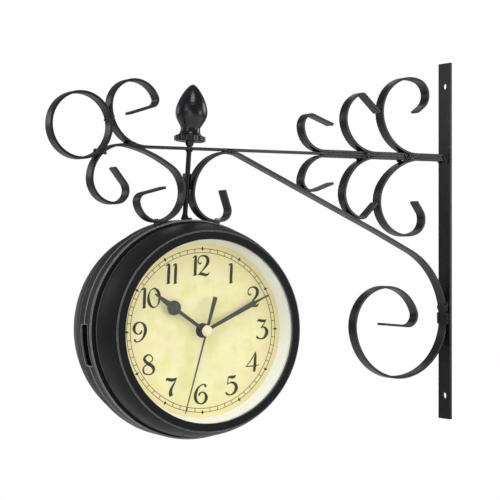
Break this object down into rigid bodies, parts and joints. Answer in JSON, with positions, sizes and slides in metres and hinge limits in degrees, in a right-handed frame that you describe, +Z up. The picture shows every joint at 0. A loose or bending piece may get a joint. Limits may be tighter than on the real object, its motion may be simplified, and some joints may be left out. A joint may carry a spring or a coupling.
{
  "type": "outdoor wall clock",
  "caption": "Double-faced outdoor clock head that swivels on a rod under a wall bracket of scrolled flat iron, with an acorn finial over the rod.",
  "frame": {"origin": "on the wall face of the plate, midway between its two screw holes", "axes": "+X into the wall, the bracket reaches towards -X; +Z up; the front face looks to -Y"},
  "size_m": [0.383, 0.1048, 0.315],
  "materials": {
    "black_iron_paint": "satin black paint on bent iron strip",
    "hammered_black": "semi-gloss black paint",
    "black_case_paint": "satin black paint",
    "plated_steel": "zinc plated",
    "brass": "plain",
    "clear_glass": "clear",
    "seal_rubber": "matt",
    "white_ring_paint": "semi-gloss white",
    "cream_dial_paint": "aged cream print, matt",
    "black_plastic": "fine grain",
    "battery_wrap": "plain wrap",
    "knob_plastic": "plain",
    "grey_hand_paint": "matt dark grey",
    "cream_plastic": "semi-gloss"
  },
  "bodies": {
    "bracket": {"wall_plate": "black_iron_paint", "top_bar": "black_iron_paint", "end_ring": "black_iron_paint", "s_scroll": "black_iron_paint", "brace": "black_iron_paint", "upper_small_scroll": "black_iron_paint", "upper_middle_scroll": "black_iron_paint", "upper_large_scroll": "black_iron_paint", "lower_small_scroll": "black_iron_paint", "lower_middle_scroll": "black_iron_paint", "lower_large_scroll": "black_iron_paint", "weld_beads": "black_iron_paint", "hanger_rod": "black_iron_paint", "finial": "hammered_black", "swivel_washer": "plated_steel", "swivel_nut": "plated_steel"},
    "head": {"swivel_bush": "black_plastic", "case_screws": "plated_steel", "front_case": "black_case_paint", "front_bezel": "black_case_paint", "front_thumb_screw": "black_case_paint", "front_glass": "clear_glass", "front_seal": "seal_rubber", "front_inner_ring": "white_ring_paint", "front_dial": "cream_dial_paint", "front_movement": "black_plastic", "front_battery": "battery_wrap", "front_dial_nut": "black_plastic", "rear_case": "black_case_paint", "rear_bezel": "black_case_paint", "rear_thumb_screw": "black_case_paint", "rear_glass": "clear_glass", "rear_seal": "seal_rubber", "rear_inner_ring": "white_ring_paint", "rear_dial": "cream_dial_paint", "rear_movement": "black_plastic", "rear_battery": "battery_wrap", "rear_dial_nut": "black_plastic"},
    "front_minute": {"front_minute_hand": "grey_hand_paint", "front_minute_tube": "brass"},
    "front_hour": {"front_hour_hand": "grey_hand_paint", "front_hour_tube": "brass"},
    "front_second": {"front_second_hand": "grey_hand_paint", "front_second_pin": "plated_steel", "front_cap": "cream_plastic"},
    "front_knob": {"front_setting_knob": "knob_plastic"},
    "rear_minute": {"rear_minute_hand": "grey_hand_paint", "rear_minute_tube": "brass"},
    "rear_hour": {"rear_hour_hand": "grey_hand_paint", "rear_hour_tube": "brass"},
    "rear_second": {"rear_second_hand": "grey_hand_paint", "rear_second_pin": "plated_steel", "rear_cap": "cream_plastic"},
    "rear_knob": {"rear_setting_knob": "knob_plastic"}
  },
  "joints": [
    {"name": "head_swivel", "type": "hinge", "parent": "bracket", "child": "head", "pos_m": [-0.2625, 0, -0.0708], "axis": [0, 0, 1], "range_deg": [-35, 30]},
    {"name": "front_minute_turn", "type": "hinge", "parent": "head", "child": "front_minute", "pos_m": [-0.2625, 0, -0.0708], "axis": [0.0785, 0.9969, 0], "continuous": true},
    {"name": "front_hour_turn", "type": "hinge", "parent": "head", "child": "front_hour", "pos_m": [-0.2625, 0, -0.0708], "axis": [0.0785, 0.9969, 0], "continuous": true},
    {"name": "front_second_turn", "type": "hinge", "parent": "head", "child": "front_second", "pos_m": [-0.2625, 0, -0.0708], "axis": [0.0785, 0.9969, 0], "continuous": true},
    {"name": "front_knob_turn", "type": "hinge", "parent": "head", "child": "front_knob", "pos_m": [-0.25054, -0.00094, -0.0588], "axis": [0.0785, 0.9969, 0], "continuous": true},
    {"name": "rear_minute_turn", "type": "hinge", "parent": "head", "child": "rear_minute", "pos_m": [-0.2625, 0, -0.0708], "axis": [-0.0785, -0.9969, 0], "continuous": true},
    {"name": "rear_hour_turn", "type": "hinge", "parent": "head", "child": "rear_hour", "pos_m": [-0.2625, 0, -0.0708], "axis": [-0.0785, -0.9969, 0], "continuous": true},
    {"name": "rear_second_turn", "type": "hinge", "parent": "head", "child": "rear_second", "pos_m": [-0.2625, 0, -0.0708], "axis": [-0.0785, -0.9969, 0], "continuous": true},
    {"name": "rear_knob_turn", "type": "hinge", "parent": "head", "child": "rear_knob", "pos_m": [-0.27446, 0.00094, -0.0588], "axis": [-0.0785, -0.9969, 0], "continuous": true}
  ],
  "couplings": [
    {"joint": "front_minute_turn", "follows": "front_second_turn", "ratio": 0.016667},
    {"joint": "front_hour_turn", "follows": "front_second_turn", "ratio": 0.0013889},
    {"joint": "front_knob_turn", "follows": "front_second_turn", "ratio": -0.0055556},
    {"joint": "rear_minute_turn", "follows": "rear_second_turn", "ratio": 0.016667},
    {"joint": "rear_hour_turn", "follows": "rear_second_turn", "ratio": 0.0013889},
    {"joint": "rear_knob_turn", "follows": "rear_second_turn", "ratio": -0.0055556}
  ]
}
